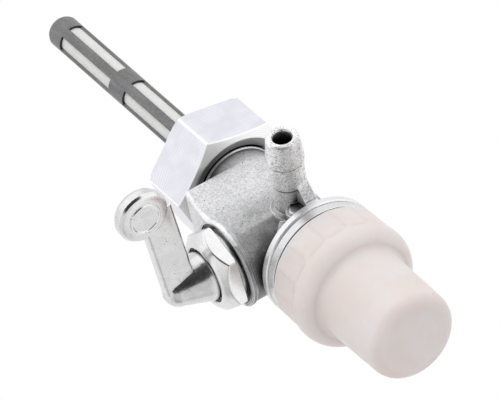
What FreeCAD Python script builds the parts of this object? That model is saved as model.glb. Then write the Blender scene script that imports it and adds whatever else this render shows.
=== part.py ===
# Fuel tap with a union nut, a strainer cage, a turning lever and a screwed sediment bowl.
# Lengths are in millimetres. +Z points up to the tank, +X out of the outlet, -Y out of the lever.
# The origin is the middle of the sealing face that meets the tank spigot.
import FreeCAD, Part
import math
import os

os.makedirs("parts", exist_ok=True)
V = FreeCAD.Vector

# clearances
thread_gap = 0.05

# union nut
nut_bore_r = 9.45
nut_wall = 2.55
nut_flats = 2 * (nut_bore_r + nut_wall)
nut_length = 11.2
nut_low = -4.4
nut_mouth_rise = 1.05
nut_mouth_r = nut_bore_r + nut_mouth_rise
nut_ridge = 0.95
nut_ridge_r = nut_bore_r + 1.5 * nut_mouth_rise
nut_face = nut_low - nut_ridge
nut_corner_turn = 40.6

# sealing washer and the spigot that carries it
seal_thick = 1.2
seal_inner_r = 4.0
seal_gap = 0.3
seal_outer_r = nut_bore_r - seal_gap
spigot_r = nut_bore_r - thread_gap
spigot_thick = 1.6
collar_step = 0.9
collar_r = spigot_r - collar_step
neck_step = 0.25
neck_r = collar_r - neck_step
lip_gap = 0.35
lip_r = collar_r + lip_gap
lip_play = 0.15
seat_z = -seal_thick
spigot_low = seat_z - spigot_thick
lip_top = spigot_low - lip_play
collar_low = nut_low - 0.3

# strainer
cage_r = 3.4
cage_wall = 0.55
cage_foot_step = 0.2
cage_foot_r = cage_r - cage_foot_step
cage_foot_depth = 5.4
window_length = 19.0
window_ring = 5.3
window_low = 15.0
cap_length = 5.0
rib_width = 2.0
rib_turn = -27.1
gauze_wall = 0.25
gauze_overlap = 1.2
pipe_r = 0.8
pipe_wall = 0.25
pipe_bore_r = pipe_r - pipe_wall
pipe_top = 27.0
pipe_depth = 4.0
supply_x = 1.5

# main casting
round_r = 8.45
block_step = 0.05
block_half = round_r - block_step
block_front = -14.6
block_corner = 0.9
block_brow = 0.4
brow_in = 1.4
brow_up = 6.0
block_drop = 3.7
block_top = nut_low - block_drop
round_drop = 3.6
round_top = nut_low - round_drop
body_length = 28.7
flange_top = nut_low - body_length
flange_rim = 1.7

# threaded skirt, with the bowl's O-ring and rim around it
skirt_r = 10.35
skirt_wall = 1.65
skirt_bore_r = skirt_r - skirt_wall
skirt_length = 5.9
bowl_seal_section = 0.8
bowl_seal_r = skirt_r + thread_gap + bowl_seal_section
pocket_gap = 0.1
seal_pocket_r = bowl_seal_r + bowl_seal_section + pocket_gap
bowl_rim_wall = 1.05
bowl_r = seal_pocket_r + bowl_rim_wall
band_step = 0.7
band_r = bowl_r - band_step
rim_step = 0.25
flange_r = band_r + rim_step
band_height = 3.8
band_low = flange_top - band_height
ceiling_rise = 2.0
ceiling_z = band_low + ceiling_rise

# valve
valve_drop = 18.3
valve_z = nut_low - valve_drop
rotor_r = 6.25
rotor_gap = 0.35
valve_bore_r = rotor_r + rotor_gap
gasket_gap = 0.3
gasket_r = valve_bore_r - gasket_gap
port_face = -5.2
gasket_thick = 2.2
rotor_thick = 2.6
wave_height = 1.0
wave_thick = 0.25
wave_steps = 36
port_r = 0.9
supply_up = 2.4
drain_down = 3.1
inlet_y = -3.6
inlet_r = 0.8

# gland nut and the recessed rim that it sits in
gland_sleeve_r = valve_bore_r - thread_gap
gland_foot_step = 1.15
gland_foot_r = gland_sleeve_r + gland_foot_step
gland_flat_step = 0.3
gland_flats = 2 * (gland_foot_r + gland_flat_step)
gland_turn = -52.3
gland_stand = 1.0
gland_height = 5.0
gland_face = block_front - gland_height
gland_hex = 2.15
recess_depth = 0.45
recess_gap = 0.9
recess_r = gland_foot_r + recess_gap
rim_wall = 0.8
rim_r = recess_r + rim_wall
rim_thick = 1.2

# lever
lever_tilt = 4.7
stem_r = 4.2
gland_bore_r = stem_r + thread_gap
stem_seal_section = 0.55
seal_room = 0.1
groove_in = 1.2
hub_r = 5.2
hub_gap = 0.55
gland_mouth = 1.5
gland_mouth_r = hub_r + hub_gap
gland_lip = 0.95
gland_front_r = gland_mouth_r + gland_lip
hub_lift = 0.3
hub_past = 0.5
hub_length = 9.1
hub_end = gland_face - hub_length
hub_end_r = 3.3
arm_half = 1.5
arm_lean = 5.9
arm_wide = 6.7
arm_out = 2.2
arm_inner_y = gland_face - arm_out
arm_round = 0.6
knob_x = 23.2
knob_off = 2.75
knob_r = 5.45
knob_low = 1.65
knob_high = 2.0
badge_r = 3.35
badge_rise = 0.3

# hose barb
barb_lean = 7.0
barb_tip_x = 26.8
barb_up = 4.4
barb_tip_z = flange_top + barb_up
barb_bore_r = 1.9
barb_tip_wall = 1.4
barb_tip_r = barb_bore_r + barb_tip_wall
barb_tip_edge = 0.45
barb_rise = 0.45
barb_r = barb_tip_r + barb_rise
barb_land_start = 4.3
barb_land = 1.4
barb_step = 0.25
second_r = barb_r - barb_step
second_end = 11.5
second_step = 0.2
neck_pipe_r = second_r - second_step
root_round = 0.8
barb_past = 1.4
rib_side = 1.1
rib_thick = 2.6

# plugged cross drilling beside the barb
plug_y = -1.4
plug_up = 2.25
plug_r = 1.45
plug_depth = 2.0
plug_out = 2.6
plug_boss_r = 2.1
plug_boss_out = 2.2
drilling_r = 0.9

# bowl
bowl_gap = 0.2
bowl_top = band_low - bowl_gap
bowl_rim_edge = 0.75
bowl_sides = 16
bowl_turn = 8.0
bowl_side_drop = 0.5
bowl_side_foot = 0.24
bowl_side_length = 11.0
bowl_collar = 8.2
shoulder_z = bowl_top - bowl_collar
shoulder_round = 3.4
shoulder_turn = 78.0
shoulder_steps = 6
bowl_length = 29.8
bowl_end = bowl_top - bowl_length
chamber_step = 0.8
chamber_r = skirt_bore_r - chamber_step
nose_wall = 1.65
nose_r = chamber_r + nose_wall
nose_draft = 0.25
nose_end_r = nose_r - nose_draft
bowl_floor = 2.0
chamber_floor = bowl_end + bowl_floor
chamber_edge = 1.6
thread_run = 0.6

# filter in the bowl
outlet_bore_r = 1.5
outlet_wall = 1.1
outlet_boss_r = outlet_bore_r + outlet_wall
outlet_boss_length = 4.2
filter_r = 5.1
filter_lid_gap = 0.3
filter_top = ceiling_z - outlet_boss_length - filter_lid_gap
filter_length = 12.5
filter_wall = 0.25
filter_bar = 0.9
filter_cuff = 0.8
filter_plate = 1.0


def revolved(points, axis_origin=V(0, 0, 0), turn=None):
    """Solid made by turning (radius, height) points about +Z, then moved to its place."""
    wire = Part.makePolygon([V(r, 0, z) for r, z in points + points[:1]])
    solid = Part.Face(wire).revolve(V(0, 0, 0), V(0, 0, 1), 360)
    if turn is not None:
        solid = placed(solid, turn)
    solid.translate(axis_origin)
    return solid


def placed(shape, rotation):
    """Copy of a shape turned by a rotation about the origin."""
    copy = shape.copy()
    copy.Placement = FreeCAD.Placement(V(0, 0, 0), rotation).multiply(copy.Placement)
    return copy


# turns +Z to -Y, for what is built around the valve axis; the height is then the depth outward
to_front = FreeCAD.Rotation(V(0, 0, 1), V(0, -1, 0))


def valve_turned(points):
    """Solid turned about the valve axis from (radius, y) points."""
    return revolved([(r, -y) for r, y in points], V(0, 0, valve_z), to_front)


def rod(radius, start, direction, length):
    """Plain cylinder."""
    return Part.makeCylinder(radius, length, start, direction)


def hexagon(flats, turn, low, length):
    """Six-sided prism about +Z with a corner at the given angle."""
    corner = flats / math.sqrt(3)
    pts = [
        V(corner * math.cos(math.radians(turn + 60 * i)), corner * math.sin(math.radians(turn + 60 * i)), low)
        for i in range(7)
    ]
    return Part.Face(Part.makePolygon(pts)).extrude(V(0, 0, length))


def o_ring(radius, section):
    """Ring about +Z with an eight-sided section whose flats lie on the round one."""
    out = section / math.cos(math.pi / 8)
    turns = [math.pi / 8 + math.pi / 4 * i for i in range(8)]
    return revolved([(radius + out * math.cos(a), out * math.sin(a)) for a in turns])


def union(first, *others):
    """Join shapes and merge faces that run on."""
    return first.fuse(list(others)).removeSplitter()


def save(shape, name):
    """Write one node."""
    if len(shape.Solids) != 1 or not shape.isValid():
        raise ValueError(name + " is not one valid solid")
    shape.Solids[0].exportStep("parts/" + name + ".step")


def edges_where(shape, test):
    """Edges whose middle passes the test."""
    found = []
    for edge in shape.Edges:
        middle = edge.valueAt((edge.FirstParameter + edge.LastParameter) / 2)
        if test(edge, middle):
            found.append(edge)
    return found


# Union nut
nut_high = nut_low + nut_length
corner_r = nut_flats / math.sqrt(3)
nut = hexagon(nut_flats, nut_corner_turn, nut_face, nut_high - nut_face)
nut_round = revolved([
    (0, nut_face), (nut_ridge_r, nut_face), (corner_r + 0.1, nut_low),
    (corner_r + 0.1, nut_high - 0.5), (corner_r - 0.7, nut_high), (0, nut_high)])
nut_hole = revolved([
    (0, nut_face - 1), (nut_ridge_r - 0.2, nut_face - 1), (nut_ridge_r - 0.2, nut_face),
    (lip_r + 0.1, nut_low - 0.15), (lip_r, nut_low), (lip_r, lip_top), (nut_bore_r, lip_top),
    (nut_bore_r, nut_high - 1.1),
    (nut_mouth_r, nut_high), (nut_mouth_r + 0.9, nut_high + 0.9), (0, nut_high + 1)])
save(nut.common(nut_round).cut(nut_hole), "tank_nut")

# Sealing washer
seal_section = [(seal_inner_r, seat_z), (seal_outer_r, seat_z), (seal_outer_r, 0), (seal_inner_r, 0)]
save(revolved(seal_section), "tank_seal")

# Strainer cage: a tube with two rows of four windows and a closed, rounded end
cage_in = cage_r - cage_wall
window_two = window_low + window_length + window_ring
cap_low = window_two + window_length
cage_top = cap_low + cap_length
cage_foot = seat_z - cage_foot_depth
cage = revolved([
    (cage_in - 0.5, cage_foot), (cage_foot_r, cage_foot), (cage_foot_r, seat_z), (cage_r, seat_z),
    (cage_r, cage_top - 0.9), (cage_r - 0.3, cage_top - 0.25), (cage_r - 0.95, cage_top),
    (0, cage_top), (0, cap_low + gauze_overlap + 1.0), (cage_in, cap_low + gauze_overlap + 0.4),
    (cage_in, window_low - gauze_overlap), (cage_in - 0.5, window_low - gauze_overlap)])
for low in (window_low, window_two):
    ring = revolved([(cage_in - 0.1, low), (cage_r + 1, low), (cage_r + 1, low + window_length),
                     (cage_in - 0.1, low + window_length)])
    cross = Part.makeBox(4 * cage_r, rib_width, window_length, V(-2 * cage_r, -rib_width / 2, low))
    cross = cross.fuse(placed(cross, FreeCAD.Rotation(V(0, 0, 1), 90)))
    cross.rotate(V(0, 0, 0), V(0, 0, 1), rib_turn)
    cage = cage.cut(ring.cut(cross))
save(cage, "strainer_cage")

# Gauze sleeve inside the cage
save(revolved([
    (cage_in - gauze_wall, window_low - gauze_overlap), (cage_in, window_low - gauze_overlap),
    (cage_in, cap_low + gauze_overlap), (cage_in - gauze_wall, cap_low + gauze_overlap)]), "strainer_gauze")

# Standpipe for the main position, pressed in its supply hole
pipe_low = cage_foot - pipe_depth
pipe = rod(pipe_r, V(-supply_x, 0, pipe_low), V(0, 0, 1), pipe_top - pipe_low)
pipe = pipe.cut(rod(pipe_bore_r, V(-supply_x, 0, pipe_low - 1), V(0, 0, 1), pipe_top - pipe_low + 2))
slant = Part.makeBox(8 * pipe_r, 8 * pipe_r, 4 * pipe_r, V(-4 * pipe_r, -4 * pipe_r, 0))
slant.rotate(V(0, 0, 0), V(0, 1, 0), 30)
slant.translate(V(-supply_x, 0, pipe_top - 0.2))
save(pipe.cut(slant), "standpipe")

# Main casting: spigot, round back, front block, flange and threaded skirt
column = revolved([
    (0, seat_z), (spigot_r - 0.3, seat_z), (spigot_r, seat_z - 0.3), (spigot_r, spigot_low),
    (collar_r, spigot_low), (collar_r, collar_low + 0.1), (collar_r - 0.1, collar_low),
    (neck_r, collar_low - 0.1), (neck_r, round_top), (round_r - 0.15, round_top),
    (round_r, round_top - 0.15), (round_r, flange_top), (flange_r - 0.25, flange_top),
    (flange_r, flange_top - 0.25), (flange_r, flange_top - flange_rim + 0.2),
    (flange_r - 0.2, flange_top - flange_rim), (band_r - 0.25, flange_top - flange_rim - 0.05),
    (band_r, flange_top - flange_rim - 0.3), (band_r, band_low),
    (skirt_r, band_low), (skirt_r, band_low - skirt_length + 0.6),
    (skirt_r - 0.6, band_low - skirt_length), (skirt_bore_r, band_low - skirt_length),
    (skirt_bore_r, ceiling_z), (outlet_boss_r, ceiling_z), (outlet_boss_r, ceiling_z - outlet_boss_length),
    (0, ceiling_z - outlet_boss_length)])
block = Part.Face(Part.makePolygon([
    V(-block_half, 0, flange_top - 0.6), V(-block_half, block_front, flange_top - 0.6),
    V(-block_half, block_front, valve_z + brow_up), V(-block_half, block_front + brow_in, block_top),
    V(-block_half, 0, block_top), V(-block_half, 0, flange_top - 0.6)])).extrude(V(2 * block_half, 0, 0))
upright = edges_where(
    block, lambda e, m: m.y < block_front + brow_in - 0.1 and abs(abs(m.x) - block_half) < 0.01
    and flange_top < m.z < block_top - 0.1)
block = block.makeFillet(block_corner, upright)
brow = edges_where(block, lambda e, m: abs(m.z - block_top) < 0.01 and m.y < -0.5)
block = block.makeFillet(block_brow, brow)
wide = 4 * body_length
low_half = Part.makeBox(wide, wide, wide, V(-wide / 2, -wide, valve_z - wide))
round_foot = valve_turned([(0, 0), (rim_r - 0.3, 0), (rim_r - 0.3, block_front - 1), (0, block_front - 1)])
round_foot = round_foot.fuse(rod(round_r, V(0, 0, flange_top - 0.6), V(0, 0, 1), valve_z - flange_top + 1))
block = block.cut(low_half.cut(round_foot))
rim = valve_turned([
    (0, block_front + 3), (block_half - 0.5, block_front + 3),
    (block_half - 0.2, block_front + rim_thick + 0.5),
    (rim_r - 0.4, block_front + rim_thick + 0.1),
    (rim_r - 0.15, block_front + rim_thick), (rim_r, block_front + rim_thick - 0.15),
    (rim_r, block_front + 0.25), (rim_r - 0.25, block_front), (0, block_front)])
body = union(column, block, rim)

# hose barb on its leaning axis, with a rib down to the flange
lean = math.radians(barb_lean)
out_way = V(math.cos(lean), 0, -math.sin(lean))
tip = V(barb_tip_x, 0, barb_tip_z)
to_barb = FreeCAD.Rotation(V(0, 0, 1), out_way)
reach = barb_tip_x / math.cos(lean)
land_end = barb_land_start + barb_land
barb = revolved([
    (0, 0), (barb_tip_r - barb_tip_edge, 0), (barb_tip_r, -barb_tip_edge), (barb_r, -barb_land_start),
    (barb_r, -land_end), (second_r, -land_end - 0.12), (second_r, -second_end),
    (neck_pipe_r, -second_end - 0.12), (neck_pipe_r, -reach + block_half + root_round - 0.1),
    (neck_pipe_r + root_round, -reach + block_half - 0.1),
    (neck_pipe_r + root_round, -reach + outlet_bore_r * 2), (0, -reach + outlet_bore_r * 2)],
    tip, to_barb)
ring_foot = tip - out_way * (second_end - 0.6)
rib = Part.Face(Part.makePolygon([
    V(0, 0, flange_top - 0.5), V(flange_r - 0.1, 0, flange_top - 0.5), V(flange_r - 0.1, 0, flange_top),
    V(ring_foot.x, 0, ring_foot.z - second_r + 0.3), V(ring_foot.x, 0, ring_foot.z), V(0, 0, ring_foot.z + 2),
    V(0, 0, flange_top - 0.5)])).extrude(V(0, rib_thick, 0))
rib.translate(V(0, rib_side - rib_thick / 2, 0))
plug_z = flange_top + plug_up
nub = rod(plug_boss_r, V(0, plug_y, plug_z), V(1, 0, 0), block_half + plug_boss_out)
body = union(body, barb, rib, nub)

# bores
body = body.cut(valve_turned([
    (0, port_face), (valve_bore_r, port_face), (valve_bore_r, block_front - 1), (0, block_front - 1)]))
body = body.cut(valve_turned([
    (0, block_front + recess_depth), (recess_r, block_front + recess_depth), (recess_r, block_front - 1),
    (0, block_front - 1)]))
body = body.cut(rod(cage_foot_r, V(0, 0, cage_foot), V(0, 0, 1), cage_foot_depth + 1))
supply_z = valve_z + supply_up
drain_z = valve_z - drain_down
for x in (-supply_x, supply_x):
    body = body.cut(rod(pipe_r, V(x, 0, supply_z), V(0, 0, 1), cage_foot - supply_z + 0.5))
    body = body.cut(rod(pipe_r, V(x, 0.5, supply_z), V(0, -1, 0), 0.5 - port_face + 0.5))
body = body.cut(rod(port_r, V(0, inlet_y + inlet_r / 2, drain_z), V(0, -1, 0), inlet_y - port_face + 1.4))
body = body.cut(rod(inlet_r, V(0, inlet_y, ceiling_z - 1), V(0, 0, 1), drain_z - ceiling_z + 1.2))
body = body.cut(rod(barb_bore_r, tip + out_way, out_way * -1, reach + barb_past + 1))
mouth = [(0, 0.2), (barb_bore_r + 0.35, 0.2), (barb_bore_r, -0.4), (0, -0.4)]
body = body.cut(revolved(mouth, tip, to_barb))
outlet_low = ceiling_z - outlet_boss_length
body = body.cut(rod(outlet_bore_r, V(0, 0, outlet_low - 1), V(0, 0, 1), valve_z - 2.0 - outlet_low + 1))
plug_foot = V(block_half - plug_depth, plug_y, plug_z)
body = body.cut(rod(plug_r, plug_foot, V(1, 0, 0), plug_depth + plug_boss_out + 1))
body = body.cut(rod(drilling_r, V(0, plug_y, plug_z), V(1, 0, 0), block_half))
save(body, "body")

# Plug pressed in the cross drilling
plug = rod(plug_r, plug_foot, V(1, 0, 0), plug_depth + plug_out)
plug_end = edges_where(plug, lambda e, m: abs(m.x - block_half - plug_out) < 0.01)
save(plug.makeChamfer(0.25, plug_end), "passage_plug")

# Valve gasket: a rubber disc with one hole for each passage
gasket_front = port_face - gasket_thick
gasket = valve_turned([(0, port_face), (gasket_r, port_face), (gasket_r, gasket_front), (0, gasket_front)])
for x, z, r in ((-supply_x, supply_z, pipe_r), (supply_x, supply_z, pipe_r), (0, drain_z, port_r)):
    gasket = gasket.cut(rod(r + 0.1, V(x, 0, z), V(0, -1, 0), 1 - gasket_front))
save(gasket, "valve_gasket")

# Lever: rotor, stem, cone hub, flat arm and round knob, as one casting
rotor_front = gasket_front - rotor_thick
stem_end = gland_face + gland_mouth - hub_lift
groove_mid = block_front + groove_in
groove_r = stem_r - 2 * stem_seal_section - seal_room
groove_half = stem_seal_section + 0.2
lever = valve_turned([
    (0, gasket_front), (rotor_r - 0.2, gasket_front), (rotor_r, gasket_front - 0.2), (rotor_r, rotor_front),
    (stem_r, rotor_front), (stem_r, groove_mid + groove_half), (groove_r, groove_mid + groove_half),
    (groove_r, groove_mid - groove_half), (stem_r, groove_mid - groove_half), (stem_r, stem_end),
    (hub_r - 0.2, stem_end), (hub_r, stem_end - 0.2), (hub_r, gland_face - hub_past),
    (hub_end_r, hub_end + 3.0),
    (hub_end_r - 0.25, hub_end + 1.9), (hub_end_r - 0.8, hub_end + 1.0), (hub_end_r - 1.6, hub_end + 0.35),
    (hub_end_r - 2.5, hub_end), (0, hub_end)])
slope = math.tan(math.radians(arm_lean))
outer_y = arm_inner_y - arm_wide
knob_y = (arm_inner_y + outer_y) / 2 - slope * knob_x - knob_off
arm = Part.Face(Part.makePolygon([
    V(0, arm_inner_y, -arm_half), V(knob_x, arm_inner_y - slope * knob_x, -arm_half),
    V(knob_x, outer_y - slope * knob_x, -arm_half), V(0, outer_y, -arm_half),
    V(0, arm_inner_y, -arm_half)])).extrude(V(0, 0, 2 * arm_half))
arm_edges = edges_where(arm, lambda e, m: 1 < m.x < knob_x - 1 and abs(abs(m.z) - arm_half) < 0.01)
arm = arm.makeFillet(arm_round, arm_edges)
knob = revolved([
    (0, -knob_low), (knob_r - 1.0, -knob_low), (knob_r - 0.35, -knob_low + 0.2),
    (knob_r, -knob_low + 0.75), (knob_r, knob_high - 1.5), (knob_r - 0.45, knob_high - 0.6),
    (knob_r - 1.5, knob_high), (0, knob_high)], V(knob_x, knob_y, 0))
badge = revolved([
    (0, -knob_low - 0.12), (badge_r - 0.55, -knob_low - 0.12), (badge_r - 0.45, -knob_low - badge_rise),
    (badge_r - 0.1, -knob_low - badge_rise), (badge_r, -knob_low), (badge_r, 0), (0, 0)],
    V(knob_x, knob_y, 0))
blade = union(arm, knob, badge)
blade.rotate(V(0, 0, 0), V(0, 1, 0), lever_tilt)
blade.translate(V(0, 0, valve_z))
lever = union(lever, blade)
# half ring cut in the rotor's face: it joins one supply hole to the drain hole when the lever points
# down and the other when it points up, and only meets the drain hole when the lever lies across
crescent = valve_turned([
    (supply_up - 1.2, gasket_front + 0.1), (drain_down + 1.0, gasket_front + 0.1),
    (drain_down + 1.0, gasket_front - 1.2), (supply_up - 1.2, gasket_front - 1.2)])
half = Part.makeBox(wide, wide, wide, V(-wide / 2, -wide, valve_z - wide))
half.rotate(V(0, 0, valve_z), V(0, 1, 0), lever_tilt)
lever = lever.cut(crescent.common(half))
save(lever, "lever")

# O-ring in the stem's groove
stem_ring = placed(o_ring(stem_r - stem_seal_section - seal_room / 2, stem_seal_section), to_front)
stem_ring.translate(V(0, groove_mid, valve_z))
save(stem_ring, "stem_seal")

# Wave washer that presses the rotor on the gasket
wave_end = rotor_front - wave_height
wave_in = stem_r + 0.5
wave_out = rotor_r - 0.15
rows = []
for i in range(wave_steps + 1):
    angle = 2 * math.pi * (i % wave_steps) / wave_steps
    lift = (wave_height - wave_thick) * (0.5 + 0.5 * math.cos(3 * angle))
    rows.append([
        V(r * math.cos(angle), rotor_front - lift - y, valve_z + r * math.sin(angle))
        for r, y in ((wave_in, 0), (wave_out, 0), (wave_out, wave_thick), (wave_in, wave_thick))])
strips = []
for one, two in zip(rows, rows[1:]):
    for k in range(4):
        a, b, c, d = one[k], one[(k + 1) % 4], two[(k + 1) % 4], two[k]
        strips.append(Part.Face(Part.makePolygon([a, b, c, a])))
        strips.append(Part.Face(Part.makePolygon([a, c, d, a])))
save(Part.Solid(Part.Shell(strips)), "wave_washer")

# Gland nut: threaded sleeve, round foot, six flats and a coned face
gland_back = block_front + recess_depth
hex_start = block_front - gland_stand
gland_hex_solid = hexagon(gland_flats, 0, 0, hex_start - gland_face)
gland_hex_solid = placed(gland_hex_solid, FreeCAD.Rotation(V(0, 0, 1), V(0, -1, 0)))
gland_hex_solid.rotate(V(0, 0, 0), V(0, -1, 0), gland_turn)
gland_hex_solid.translate(V(0, hex_start, valve_z))
gland_corner = gland_flats / math.sqrt(3)
gland_cone = valve_turned([
    (0, hex_start + 0.1), (gland_corner - 0.35, hex_start + 0.1), (gland_corner + 0.1, hex_start - 0.35),
    (gland_corner + 0.1, hex_start - gland_hex + 0.55), (gland_front_r + 0.45, gland_face + 0.3),
    (gland_front_r, gland_face), (0, gland_face)])
gland = gland_hex_solid.common(gland_cone)
gland = union(gland, valve_turned([
    (0, wave_end), (gland_sleeve_r, wave_end), (gland_sleeve_r, gland_back), (gland_foot_r, gland_back),
    (gland_foot_r, hex_start - 0.5), (0, hex_start - 0.5)]))
gland = gland.cut(valve_turned([
    (0, wave_end + 1), (gland_bore_r, wave_end + 1), (gland_bore_r, gland_face + gland_mouth),
    (gland_mouth_r, gland_face + gland_mouth), (gland_mouth_r, gland_face + 0.3),
    (gland_mouth_r + 0.4, gland_face - 0.1), (0, gland_face - 0.1)]))
save(gland, "gland_nut")

# Bowl: fluted collar, rounded shoulder and tapered nose
side_low = bowl_top - bowl_side_length


# each flat leans out as it goes down and runs out on the round collar
flat_lean = math.degrees(math.atan((bowl_side_drop - bowl_side_foot) / bowl_side_length))
flat_wide = 2 * bowl_r * math.tan(math.pi / bowl_sides) + 2
flat_high = 2 * bowl_side_length
flat = Part.makeBox(flat_wide, flat_wide, flat_high, V(0, -flat_wide / 2, 2 - flat_high))
flat.rotate(V(0, 0, 2), V(0, 1, 0), -flat_lean)
flat.translate(V(bowl_r - bowl_side_drop, 0, bowl_top - 2))


def round_at(angle):
    """Point of the shoulder's round, from 0 at the collar to 90 at its end face."""
    a = math.radians(angle)
    return (bowl_r - shoulder_round * (1 - math.cos(a)), shoulder_z - shoulder_round * math.sin(a))


shoulder = [round_at(shoulder_turn * i / shoulder_steps) for i in range(shoulder_steps + 1)]
nose_z = shoulder[-1][1]
bowl = revolved([
    (0, bowl_top), (bowl_r - bowl_rim_edge, bowl_top), (bowl_r, bowl_top - bowl_rim_edge + 0.05)]
    + shoulder + [
    (nose_r + 0.35, nose_z - 0.35), (nose_r + 0.1, nose_z - 0.85), (nose_r, nose_z - 1.6),
    (nose_end_r, bowl_end + 2.1), (nose_end_r - 0.2, bowl_end + 1.2), (nose_end_r - 0.65, bowl_end + 0.55),
    (nose_end_r - 1.2, bowl_end + 0.18), (nose_end_r - 2.0, bowl_end), (nose_end_r - 2.8, bowl_end + 0.06),
    (nose_end_r - 4.2, bowl_end + 0.22), (0, bowl_end + 0.3)])
for i in range(bowl_sides):
    turned = flat.copy()
    turned.rotate(V(0, 0, 0), V(0, 0, 1), bowl_turn + 360 * (i + 0.5) / bowl_sides)
    bowl = bowl.cut(turned)
seal_floor = band_low - 2 * bowl_seal_section
thread_end = band_low - skirt_length - thread_run
bowl = bowl.cut(revolved([
    (0, bowl_top + 1), (seal_pocket_r, bowl_top + 1), (seal_pocket_r, seal_floor),
    (skirt_r + thread_gap, seal_floor),
    (skirt_r + thread_gap, thread_end), (chamber_r + 0.9, thread_end), (chamber_r, thread_end - chamber_edge),
    (chamber_r, chamber_floor + chamber_edge), (chamber_r - chamber_edge, chamber_floor),
    (0, chamber_floor)]))
save(bowl, "bowl")

# O-ring between the bowl and the flange
bowl_ring = o_ring(bowl_seal_r, bowl_seal_section)
bowl_ring.translate(V(0, 0, band_low - bowl_seal_section))
save(bowl_ring, "bowl_seal")

# Filter on the outlet boss: a moulded frame and a gauze tube
filter_low = filter_top - filter_length
frame = revolved([
    (outlet_boss_r, ceiling_z - 0.6), (outlet_boss_r + filter_cuff, ceiling_z - 0.6),
    (outlet_boss_r + filter_cuff, filter_top),
    (filter_r, filter_top), (filter_r, filter_top - filter_plate), (outlet_bore_r, filter_top - filter_plate),
    (outlet_bore_r, outlet_low), (outlet_boss_r, outlet_low)])
base = revolved([(0, filter_low), (filter_r - 0.3, filter_low), (filter_r, filter_low + 0.3),
                 (filter_r, filter_low + 1.2), (0, filter_low + 1.2)])
frame = frame.fuse(base)
bars = None
for i in range(3):
    bar = Part.makeBox(0.9, 1.4, filter_length - 1.6, V(filter_r - 0.9, -0.7, filter_low + 0.8))
    bar.rotate(V(0, 0, 0), V(0, 0, 1), 120 * i + 30)
    bars = bar if bars is None else bars.fuse(bar)
limit = revolved([(filter_r - 0.55, filter_low), (filter_r, filter_low), (filter_r, filter_top),
                  (filter_r - 0.55, filter_top)])
frame = union(frame, bars.common(limit))
save(frame, "filter_frame")
save(revolved([
    (filter_r - 0.55 - filter_wall, filter_low + 1.2), (filter_r - 0.55, filter_low + 1.2),
    (filter_r - 0.55, filter_top - 1.0), (filter_r - 0.55 - filter_wall, filter_top - 1.0)]), "filter_gauze")
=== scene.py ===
"""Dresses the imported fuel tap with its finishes, nuts, bowl and threads, on a plain stage."""

import math

import bmesh
import bpy
from mathutils import Matrix, Vector


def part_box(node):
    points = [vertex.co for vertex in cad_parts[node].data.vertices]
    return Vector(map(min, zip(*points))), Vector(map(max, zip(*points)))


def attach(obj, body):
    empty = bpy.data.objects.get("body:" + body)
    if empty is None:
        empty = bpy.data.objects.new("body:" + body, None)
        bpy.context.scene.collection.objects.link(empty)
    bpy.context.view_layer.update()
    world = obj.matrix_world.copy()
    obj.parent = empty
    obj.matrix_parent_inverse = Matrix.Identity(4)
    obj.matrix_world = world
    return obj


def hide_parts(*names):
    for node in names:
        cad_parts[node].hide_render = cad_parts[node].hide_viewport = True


bl_info = {
    "name": "Fuel Tap",
    "version": (1, 0, 0),
    "blender": (4, 5, 0),
    "location": "View3D > Sidebar > Fuel Tap",
    "description": "Dresses a fuel tap's solids with cast, plated, milled and moulded finishes",
    "category": "Object",
}

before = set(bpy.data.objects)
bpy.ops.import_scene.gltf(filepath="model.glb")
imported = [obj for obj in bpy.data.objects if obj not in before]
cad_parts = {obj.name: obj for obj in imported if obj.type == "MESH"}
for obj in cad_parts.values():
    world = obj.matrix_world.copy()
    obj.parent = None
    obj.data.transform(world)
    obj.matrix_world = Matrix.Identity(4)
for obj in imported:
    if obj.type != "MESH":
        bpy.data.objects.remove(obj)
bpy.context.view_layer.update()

MM = 0.001

# Sizes in millimetres and turns in degrees, as the solids have them

NUT_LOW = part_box("tank_nut")[0][2] / MM
NUT_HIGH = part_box("tank_nut")[1][2] / MM
NUT_TURN = 40.6
NUT_MOUTH = 10.825
NUT_FACE = 11.025
NUT_BLANK = 13.956
NUT_CONE_TOP = NUT_LOW + 0.95
BLOCK_HALF = 8.4
BLOCK_FRONT = -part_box("body")[0][1] / MM
BROW_LOW = NUT_CONE_TOP - 9.7
BROW_SLOPE = 0.233
FLANGE_TOP = NUT_CONE_TOP - 28.7
FLANGE_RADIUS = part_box("body")[1][1] / MM
BARB_LEAN = 7.0
BARB_TIP_X = 26.8
BARB_TIP_Z = FLANGE_TOP + 4.4
BARB_STEPS = (5.7, 11.5)
GAUZE_RADIUS = 2.85
BOWL_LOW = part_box("bowl")[0][2] / MM
BOWL_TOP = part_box("bowl")[1][2] / MM
BOWL_TURN = 8.0
BOWL_FLAT_END = BOWL_TOP - 7.4
BOWL_THREAD_LOW = BOWL_TOP - 6.3
BOWL_THREAD_HIGH = BOWL_TOP - 1.4

# The photograph's camera: its axes in the part's frame, its focal length and the image width in pixels

CAMERA_RIGHT = Vector((-0.1761, 0.8312, -0.5273))
CAMERA_UP = Vector((0.7613, 0.4545, 0.4623))
CAMERA_BACK = Vector((0.6240, -0.3201, -0.7129))
CAMERA_FOCAL = 6445.0
PHOTO_WIDTH = 500


# Node wiring


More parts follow.
